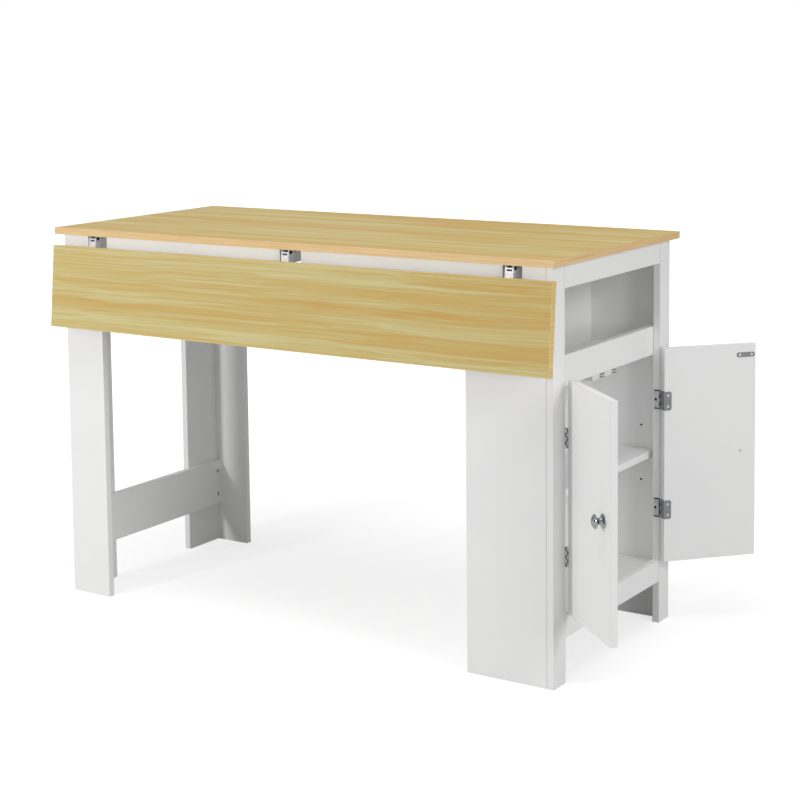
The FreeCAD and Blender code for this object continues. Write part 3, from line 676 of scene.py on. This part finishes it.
@dataclass(frozen=True)
class CrossScrew:
    """A cross-recessed screw head with its shank, worked at the origin and then set in place.

    Attributes:
        radius: The head's radius.
        rise: How far the head stands above its seat; nothing for a countersunk head.
        sink: How deep a countersunk head goes into its sheet.
        shank: The shank's radius and how far it reaches below the seat.
        recess_reach: How far the recess reaches out, as a share of the radius.
        recess_depth: How deep it is, in the same way.
        land: Where the flat land about it ends, in the same way.
    """

    radius: float
    rise: float
    sink: float = 0.0
    shank: tuple[float, float] = (0.0017, 0.010)
    recess_reach: float = 0.52
    recess_depth: float = 0.38
    land: float = 0.72

    def cut_recess(self, work: Mesh) -> list[bmesh.types.BMEdge]:
        """Works the cross recess and its flat land.

        Args:
            work: The mesh to work in.

        Returns:
            The edges of the round land about the recess.
        """
        reach = self.radius * self.recess_reach
        depth = self.radius * self.recess_depth
        # The cross is the middle row and column of a five by five grid.
        cells = 5
        half_arm = reach / cells
        grid = bmesh.ops.create_grid(work, x_segments=cells, y_segments=cells, size=reach)
        bmesh.ops.translate(work, verts=grid["verts"], vec=(0, 0, self.rise - depth))
        floor = {face for vert in grid["verts"] for face in vert.link_faces}
        waste = [face for face in floor
                 if min(abs(face.calc_center_median().x), abs(face.calc_center_median().y)) > half_arm]
        bmesh.ops.delete(work, geom=waste, context="FACES")
        rim = [edge for edge in work.edges if edge.is_boundary]
        raised = bmesh.ops.extrude_edge_only(work, edges=rim)["geom"]
        lifted = [part for part in raised if isinstance(part, bmesh.types.BMVert)]
        bmesh.ops.translate(work, verts=lifted, vec=(0, 0, depth))
        lip = [part for part in raised if isinstance(part, bmesh.types.BMEdge) and part.is_boundary]
        circle = bmesh.ops.create_circle(work, cap_ends=False, radius=self.radius * self.land, segments=20)
        bmesh.ops.translate(work, verts=circle["verts"], vec=(0, 0, self.rise))
        ring = list({edge for vert in circle["verts"] for edge in vert.link_edges})
        bmesh.ops.bridge_loops(work, edges=lip + ring)
        return [edge for edge in ring if edge.is_valid]

    def rims(self) -> list[tuple[float, float]]:
        """Gives the rims from the land down to the shank's end, as (radius, height)."""
        thin, reach = self.shank
        if self.rise:
            crown, brow = (self.radius * 0.90, self.rise * 0.86), (self.radius, self.rise * 0.45)
            return [crown, brow, (self.radius, 0.0), (thin, 0.0), (thin, -reach)]
        return [(self.radius, 0.0), (thin, -self.sink), (thin, -reach)]

    def make(self, work: Mesh, place: Matrix) -> None:
        """Works one screw and sets it in place.

        Args:
            work: The mesh that gathers the screws.
            place: Where the screw goes, its axis on +Z.
        """
        own = bmesh.new()
        ring = self.cut_recess(own)
        for radius, height in self.rims():
            grown = bmesh.ops.extrude_edge_only(own, edges=ring)["geom"]
            ring = [part for part in grown if isinstance(part, bmesh.types.BMEdge) and part.is_boundary]
            for vert in (part for part in grown if isinstance(part, bmesh.types.BMVert)):
                flat = Vector((vert.co.x, vert.co.y)).normalized() * radius
                vert.co = (flat.x, flat.y, height)
        bmesh.ops.holes_fill(own, edges=ring)
        bmesh.ops.recalc_face_normals(own, faces=own.faces)
        bmesh.ops.transform(own, matrix=place, verts=own.verts)
        holder = bpy.data.meshes.new("holder")
        own.to_mesh(holder)
        own.free()
        work.from_mesh(holder)
        bpy.data.meshes.remove(holder)


# The table's screws: pan heads in the stretcher, the catches and behind the knobs, and small
# countersunk ones in the hinge leaves and strike plates.
SHEET = 0.0012
STRETCHER_SCREW = CrossScrew(0.005, 0.002, shank=(0.0017, 0.024))
CATCH_SCREW = CrossScrew(0.0035, 0.0016, shank=(0.0017, 0.021))
KNOB_SCREW = CrossScrew(0.0042, 0.002, shank=(0.0019, 0.0255))
SHEET_SCREW = CrossScrew(0.0029, 0.0, sink=SHEET)


# ---- sub-assemblies
@dataclass
class Worktop:
    """The fixed top and the hanging leaf, both straw laminate with warmer edge tape."""

    looks: Finishes

    def build(self) -> None:
        """Dresses the top and the leaf."""
        dress(self.looks.top_laminate, "tabletop")
        dress(self.looks.leaf_laminate, "drop_leaf")
        dress(self.looks.top_tape, "tabletop_edge_band")
        dress(self.looks.leaf_tape, "drop_leaf_edge_band")


@dataclass
class LegEnd:
    """The two L-shaped legs, the aprons between them and the cupboard, and the stretcher."""

    looks: Finishes
    screw_x: float = -1.102
    screw_y: tuple[float, float] = (-0.245, 0.245)
    screw_z: tuple[float, float] = (0.129, 0.192)

    def build(self) -> None:
        """Dresses the boards and drives the stretcher's four screws."""
        dress(self.looks.white, "front_apron", "back_apron", "left_end_apron", "front_left_leg_face",
              "front_left_leg_side", "back_left_leg_face", "back_left_leg_side", "leg_stretcher")
        work = bmesh.new()
        for y, z in product(self.screw_y, self.screw_z):
            STRETCHER_SCREW.make(work, facing((self.screw_x, y, z), (1, 0, 0)))
        place_piece("stretcher_cross_screws", work, self.looks.zinc, "table",
                    ("leg_stretcher_screws",), smooth=True)


@dataclass
class Cupboard:
    """The cupboard under the right end: its boards, the tray above it, the shelf and the catches.

    Attributes:
        looks: The table's finishes.
        leaf_screw_x: Where the screw of a stile's hinge leaf stands.
        shade_bar_x: Where the middles of the painted shade bars stand.
        shade_bar_off: How far from the stile's edge they stand.
        shade_bar_rise: How far above and below the hinge's middle they stand.
        shade_bar_size: A shade bar's length, thickness and height.
        shade_bar_ease: How much their edges are eased.
        catch_rows: Where the catches' screws stand across the cupboard.
        hole_rows: Where the pin holes' rows stand.
        hole_heights: The heights of the spare holes.
        hole_radius: A lining's radius.
        hole_reach: A lining's depth.
        hole_sunk: How far its rim lies below the board's face.
        wall_y: How far from the middle the walls' inner faces stand.
    """

    looks: Finishes
    leaf_screw_x: float = 0.191
    shade_bar_x: float = 0.194
    shade_bar_off: float = 0.0014
    shade_bar_rise: float = 0.0206
    shade_bar_size: Place = (0.0135, 0.0005, 0.0028)
    shade_bar_ease: float = 0.0002
    catch_rows: tuple[float, float] = (-0.057, 0.001)
    hole_rows: tuple[float, float] = (0.039, 0.138)
    hole_heights: tuple[float, float] = (0.3225, 0.4505)
    hole_radius: float = 0.00245
    hole_reach: float = 0.0075
    hole_sunk: float = 0.0002
    wall_y: float = 0.264

    def build(self) -> None:
        """Dresses the cupboard and its fittings."""
        dress(self.looks.framed_white, "cabinet_front_panel", "cabinet_back_panel", "front_stile",
              "back_stile", "top_rail", "bottom_rail", "tray_lip")
        dress(self.looks.white, "cabinet_inner_side", "tray_deck", "cabinet_floor", "adjustable_shelf")
        dress(self.looks.zinc, "shelf_pins")
        dress(self.looks.left_stile_hinge, "front_stile_hinge_leaves")
        dress(self.looks.right_stile_hinge, "back_stile_hinge_leaves")
        dress(self.looks.plastic, "catch_housings")
        dress(self.looks.magnet, "catch_magnets")
        dress(self.looks.black, "catch_pole_plates")
        self.line_pin_holes()
        self.shade_bar_hinges()
        self.drive_screws()

    def line_pin_holes(self) -> None:
        """Shows raw particle board inside the spare shelf-pin holes."""
        work = bmesh.new()
        inward = Matrix.Translation((0, 0, -self.hole_reach / 2 - self.hole_sunk))
        for x, z, side in product(self.hole_rows, self.hole_heights, (-1, 1)):
            cup = bmesh.ops.create_cone(work, cap_ends=True, cap_tris=False, segments=16,
                                        radius1=self.hole_radius, radius2=self.hole_radius,
                                        depth=self.hole_reach)["verts"]
            faces = {face for vert in cup for face in vert.link_faces}
            lid = [face for face in faces if face.normal.z > 0.9]
            bmesh.ops.delete(work, geom=lid, context="FACES_ONLY")
            mouth = facing((x, side * self.wall_y, z), (0, -side, 0))
            bmesh.ops.transform(work, matrix=mouth @ inward, verts=cup)
        bmesh.ops.reverse_faces(work, faces=work.faces)
        place_piece("pin_hole_linings", work, self.looks.chips, "table", keep_sides=True)

    def shade_bar_hinges(self) -> None:
        """Lays near-black bars of painted shade at the top and bottom of each stile leaf, where the gaps
        there lie in shadow.
        """
        work = bmesh.new()
        for side, middle, end in product((-1, 1), HINGE_HEIGHTS, (-1, 1)):
            shade_bar = bmesh.ops.create_cube(work, size=1.0)["verts"]
            bmesh.ops.scale(work, vec=self.shade_bar_size, verts=shade_bar)
            place = (self.shade_bar_x, side * (STILE_EDGE - self.shade_bar_off), middle + end * self.shade_bar_rise)
            bmesh.ops.translate(work, vec=place, verts=shade_bar)
        bmesh.ops.bevel(work, geom=work.edges[:], offset=self.shade_bar_ease, segments=2, affect="EDGES",
                        profile=0.5, material=-1)
        # Painted shade: these bars stand for the shadowed gaps above and below each leaf.
        place_piece("stile_leaf_shade_bars", work, self.looks.gap_shade, "table")

    def drive_screws(self) -> None:
        """Drives the screws of the stile leaves and of the catches."""
        work = bmesh.new()
        for side, middle in product((-1, 1), HINGE_HEIGHTS):
            seat = (self.leaf_screw_x, side * (STILE_EDGE - SHEET), middle)
            SHEET_SCREW.make(work, facing(seat, (0, -side, 0)))
        place_piece("stile_leaf_cross_screws", work, self.looks.black, "table",
                    ("stile_hinge_screws",), smooth=True)
        work = bmesh.new()
        low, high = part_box("catch_screws")
        for y in self.catch_rows:
            seat = ((low.x + high.x) / 2, y, low.z + CATCH_SCREW.rise)
            CATCH_SCREW.make(work, facing(seat, (0, 0, -1)))
        place_piece("catch_cross_screws", work, self.looks.black, "table",
                    ("catch_screws",), smooth=True)


class Side(Enum):
    """Which door of the pair, by the side that it hangs on when seen from the cupboard's end."""

    LEFT = "left"
    RIGHT = "right"


@dataclass
class Door:
    """One cupboard door with its hinges, knob and strike plate.

    Its fittings are worked on the closed left door, mirrored for the right one, and then swung
    open with the door.

    Attributes:
        looks: The table's finishes.
        side: Which of the two doors it is.
        open_left: How far the left door stands open, in degrees.
        open_right: How far the right door stands open, in degrees.
        outer_face: The X of its outer face.
        inner_face: The X of its inner face.
        knob_y: Where its knob stands across it.
        knob_z: How high its knob stands.
        hinge_screw_y: Where the screws of its hinge leaves stand across it.
        hinge_screw_rise: How far above and below the hinge's middle they stand.
        strike_screws: Where the strike plate's screws stand across it.
        strike_z: How high they stand.
        knob_mm: The knob's outline, as radius and height over the door.
    """

    looks: Finishes
    side: Side
    open_left: float = 131.0
    open_right: float = 138.0
    outer_face: float = 0.200
    inner_face: float = 0.184
    knob_y: float = -0.0375
    knob_z: float = 0.3965
    hinge_screw_y: float = -0.217
    hinge_screw_rise: float = 0.0125
    strike_screws: tuple[float, float] = (-0.041, -0.012)
    strike_z: float = 0.6183
    knob_mm: tuple[tuple[float, float], ...] = (
        (0.0, 0.0), (14.0, 0.0), (14.0, 1.3), (13.2, 2.0), (10.4, 3.1), (8.2, 4.9), (6.9, 7.2), (6.5, 9.8),
        (7.1, 12.3), (9.2, 14.0), (12.2, 15.6), (14.4, 16.9), (15.0, 17.9), (14.1, 19.0), (12.58, 20.42),
        (9.79, 22.38), (6.69, 23.82), (3.4, 24.7), (0.0, 25.0))

    @property
    def body(self) -> str:
        """The door's body in the frame, which is also the name of its board."""
        return f"{self.side.value}_door"

    def swing(self) -> Matrix:
        """Gives the move from the closed left door to where this door stands open.

        Returns:
            The matrix of the swing, with the mirror for the right door.
        """
        if self.side is Side.LEFT:
            pin = Vector((PIN_X, LEFT_PIN_Y, 0))
            turn, mirror = Matrix.Rotation(radians(-self.open_left), 4, "Z"), Matrix.Identity(4)
        else:
            pin = Vector((PIN_X, RIGHT_PIN_Y, 0))
            turn, mirror = Matrix.Rotation(radians(self.open_right), 4, "Z"), Matrix.Diagonal((1, -1, 1, 1))
        return Matrix.Translation(pin) @ turn @ Matrix.Translation(-pin) @ mirror

    def turn_knob(self) -> None:
        """Turns the knob from its outline and sets it on the door's outer face."""
        work = bmesh.new()
        verts = [work.verts.new((radius * MM, 0, height * MM)) for radius, height in self.knob_mm]
        edges = [work.edges.new(pair) for pair in zip(verts, verts[1:])]
        bmesh.ops.spin(work, geom=verts + edges, axis=(0, 0, 1), cent=(0, 0, 0), steps=48, angle=2 * pi,
                       use_merge=True)
        bmesh.ops.remove_doubles(work, verts=work.verts, dist=WELD)
        seat = facing((self.outer_face, self.knob_y, self.knob_z), (1, 0, 0))
        bmesh.ops.transform(work, matrix=self.swing() @ seat, verts=work.verts)
        place_piece(f"{self.body}_turned_knob", work, self.looks.chrome, self.body,
                    (f"{self.body}_knob",), smooth=True)

    def drive_screws(self) -> None:
        """Drives the knob's screw, and the screws of the hinge leaves and the strike plate."""
        swing, inward = self.swing(), (-1, 0, 0)
        work = bmesh.new()
        KNOB_SCREW.make(work, swing @ facing((self.inner_face, self.knob_y, self.knob_z), inward))
        place_piece(f"{self.body}_knob_cross_screw", work, self.looks.pale_zinc, self.body,
                    (f"{self.body}_knob_screw",), smooth=True)
        seats = [(y, self.strike_z) for y in self.strike_screws]
        for middle, rise in product(HINGE_HEIGHTS, (-self.hinge_screw_rise, self.hinge_screw_rise)):
            seats.append((self.hinge_screw_y, middle + rise))
        work = bmesh.new()
        for y, z in seats:
            SHEET_SCREW.make(work, swing @ facing((self.inner_face - SHEET, y, z), inward))
        place_piece(f"{self.body}_cross_screws", work, self.looks.zinc, self.body,
                    (f"{self.body}_screws",), smooth=True)

    def build(self) -> None:
        """Dresses the door and its fittings."""
        left = self.side is Side.LEFT
        dress(self.looks.white, self.body)
        dress(self.looks.left_door_hinge if left else self.looks.right_door_hinge,
              f"{self.body}_hinge_leaves")
        dress(self.looks.nickel, f"{self.body}_strike_plate")
        dress(self.looks.black, f"{self.body}_hinge_pins")
        self.turn_knob()
        self.drive_screws()


@dataclass
class LeafBrackets:
    """The three folding brackets that carry the raised leaf, with their sliding locks."""

    looks: Finishes

    def build(self) -> None:
        """Dresses the brackets."""
        dress(self.looks.pale_zinc, "bracket_channels", "bracket_arms")
        dress(self.looks.zinc, "bracket_channel_screws", "bracket_arm_screws", "left_lock_bar",
              "middle_lock_bar", "right_lock_bar")
        dress(self.looks.black, "bracket_rivets", "bracket_guide_pins")


# ---- studio
@dataclass(frozen=True)
class SoftBox:
    """One square soft box that faces the table.

    Attributes:
        name: The lamp's name.
        bearing: Its direction from the table, in degrees from +X.
        height: How high it stands over the table, in degrees.
        distance: How far away it is.
        size: The length of its side.
        watts: Its power.
    """

    name: str
    bearing: float
    height: float
    distance: float
    size: float
    watts: float

    def hang(self, middle: Vector) -> None:
        """Hangs the lamp.

        Args:
            middle: The table's middle, which it faces.
        """
        light = bpy.data.lights.new(self.name, "AREA")
        light.shape = "SQUARE"
        light.size = self.size
        light.energy = self.watts
        lamp = bpy.data.objects.new(self.name, light)
        around, up = radians(self.bearing), radians(self.height)
        way = Vector((cos(around) * cos(up), sin(around) * cos(up), sin(up)))
        turn = (-way).to_track_quat("-Z", "Y").to_matrix().to_4x4()
        lamp.matrix_world = Matrix.Translation(middle + way * self.distance) @ turn
        bpy.context.scene.collection.objects.link(lamp)


@dataclass
class Studio:
    """A white sweep of floor, soft lamps, dark cards for the chrome, and the camera.

    Attributes:
        eye: Where the camera stands.
        turn: How far it is turned from looking along +Y.
        dip: How far it looks down.
        roll: How far it leans.
        sensor_mm: The width of its sensor.
        frame_px: The picture's width and height.
        focal_px: The focal length in the picture's pixels.
        axis_px: The row of the picture that its axis meets.
        middle: The table's middle.
        room_light: How strong the room's own soft light is.
        floor_half: Half the floor's width.
        shadow_span: How far from the middle the floor starts and ends going over into white.
        floor_lift: How white it looks before and after that.
        card_bearings: Where the black cards hang round the table, in degrees from +X.
        card_distance: How far away they hang.
        card_height: How high their middles hang.
        card_size: Their width and height.
        lamps: The soft boxes.
    """

    eye: Place = (1.9375, -3.5150, 1.3613)
    turn: float = 0.5768
    dip: float = 0.1047
    roll: float = -0.0109
    sensor_mm: float = 36.0
    frame_px: float = 800.0
    focal_px: float = 1826.8
    axis_px: float = 222.9
    middle: Place = (-0.47, 0.0, 0.45)
    room_light: float = 0.40
    floor_half: float = 600.0
    shadow_span: tuple[float, float] = (1.3, 3.5)
    floor_lift: tuple[float, float] = (0.66, 1.0)
    card_bearings: tuple[int, ...] = (-160, -125, -85, -30, 15, 60, 110, 160)
    card_distance: float = 3.4
    card_height: float = 0.8
    card_size: tuple[float, float] = (1.3, 2.2)
    lamps: tuple[SoftBox, ...] = (
        SoftBox("key_front", -109.0, 12.5, 4.0, 0.4, 44.0),
        SoftBox("left_fill", -150.0, 10.0, 3.5, 1.2, 12.0),
        SoftBox("end_high", -14.0, 25.0, 5.6, 1.0, 48.0),
        SoftBox("end_low", -20.0, 8.0, 6.0, 1.0, 42.0),
        SoftBox("overhead", -60.0, 78.0, 4.5, 2.5, 70.0))

    def set_camera(self) -> None:
        """Sets the camera at eye height, dipped a little, with the frame dropped below its axis."""
        data = bpy.data.cameras.new("studio_camera")
        data.sensor_width = self.sensor_mm
        data.lens = self.sensor_mm * self.focal_px / self.frame_px
        data.shift_y = -(self.frame_px / 2 - self.axis_px) / self.frame_px
        data.clip_end = 2000.0
        camera = bpy.data.objects.new("studio_camera", data)
        turn = Matrix.Rotation(self.turn, 4, "Z") @ Matrix.Rotation(pi / 2 - self.dip, 4, "X")
        camera.matrix_world = Matrix.Translation(self.eye) @ turn @ Matrix.Rotation(self.roll, 4, "Z")
        bpy.context.scene.collection.objects.link(camera)
        bpy.context.scene.camera = camera

    def lay_floor(self) -> None:
        """Lays a wide pale floor that looks white to the camera and keeps the table's soft shadow."""
        work = bmesh.new()
        bmesh.ops.create_grid(work, x_segments=8, y_segments=8, size=self.floor_half)
        material, tree, shader = start_material("pale_floor")
        shader.inputs["Roughness"].default_value = 1.0
        shader.inputs["Specular IOR Level"].default_value = 0.0
        shader.inputs["Base Color"].default_value = linear("#BCBCBC")
        rays = add_node(tree, "ShaderNodeLightPath").outputs
        seen = calc(tree, "MAXIMUM", rays["Is Camera Ray"], rays["Is Glossy Ray"])
        # Near the table the floor keeps its shadow, and farther out it goes over into plain white.
        lift = remap(tree, shift(tree, "LENGTH", table_place(tree)), self.shadow_span, self.floor_lift)
        tree.links.new(calc(tree, "MULTIPLY", seen, lift), shader.inputs["Emission Strength"])
        shader.inputs["Emission Color"].default_value = WHITE
        add_object("studio_floor", work, material)

    def hang_card(self, bearing: int) -> None:
        """Hangs a black card that only polished metal mirrors.

        Args:
            bearing: Its direction from the table, in degrees from +X.
        """
        around = radians(bearing)
        seat = Vector((self.middle[0] + self.card_distance * cos(around), self.card_distance * sin(around),
                       self.card_height))
        work = bmesh.new()
        verts = bmesh.ops.create_grid(work, x_segments=1, y_segments=1, size=0.5)["verts"]
        bmesh.ops.scale(work, vec=(*self.card_size, 1.0), verts=verts)
        turn = (Vector(self.middle) - seat).to_track_quat("Z", "Y").to_matrix().to_4x4()
        bmesh.ops.transform(work, matrix=Matrix.Translation(seat) @ turn, verts=verts)
        material, _, shader = start_material("black_card")
        shader.inputs["Base Color"].default_value = (0.01, 0.01, 0.01, 1.0)
        shader.inputs["Roughness"].default_value = 0.9
        card = add_object(f"card_{bearing}", work, material)
        card.visible_camera = card.visible_diffuse = card.visible_shadow = card.visible_transmission = False

    def light_world(self) -> None:
        """Fills the room with soft white and shows plain white behind the table."""
        world = bpy.data.worlds.new("studio_world")
        world.use_nodes = True
        bpy.context.scene.world = world
        tree = world.node_tree
        tree.nodes.clear()
        rays = add_node(tree, "ShaderNodeLightPath").outputs
        seen = calc(tree, "MAXIMUM", rays["Is Camera Ray"], rays["Is Transmission Ray"])
        seen = calc(tree, "MAXIMUM", seen, rays["Is Glossy Ray"])
        strength = remap(tree, seen, (0.0, 1.0), (self.room_light, 1.0))
        glow = add_node(tree, "ShaderNodeBackground", {"Color": WHITE, "Strength": strength})
        add_node(tree, "ShaderNodeOutputWorld", {"Surface": glow.outputs[0]})

    def build(self) -> None:
        """Sets up the whole studio."""
        self.set_camera()
        self.lay_floor()
        self.light_world()
        for bearing in self.card_bearings:
            self.hang_card(bearing)
        for lamp in self.lamps:
            lamp.hang(Vector(self.middle))
        bpy.context.scene.view_settings.view_transform = "Standard"


def main() -> None:
    """Builds the table's sub-assemblies in order."""
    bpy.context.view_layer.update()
    finishes = Finishes()
    for part in (Worktop(finishes), LegEnd(finishes), Cupboard(finishes), Door(finishes, Side.LEFT),
                 Door(finishes, Side.RIGHT), LeafBrackets(finishes), Studio()):
        part.build()
        log.info("built %s", type(part).__name__)


if __name__ == "__main__":
    main()
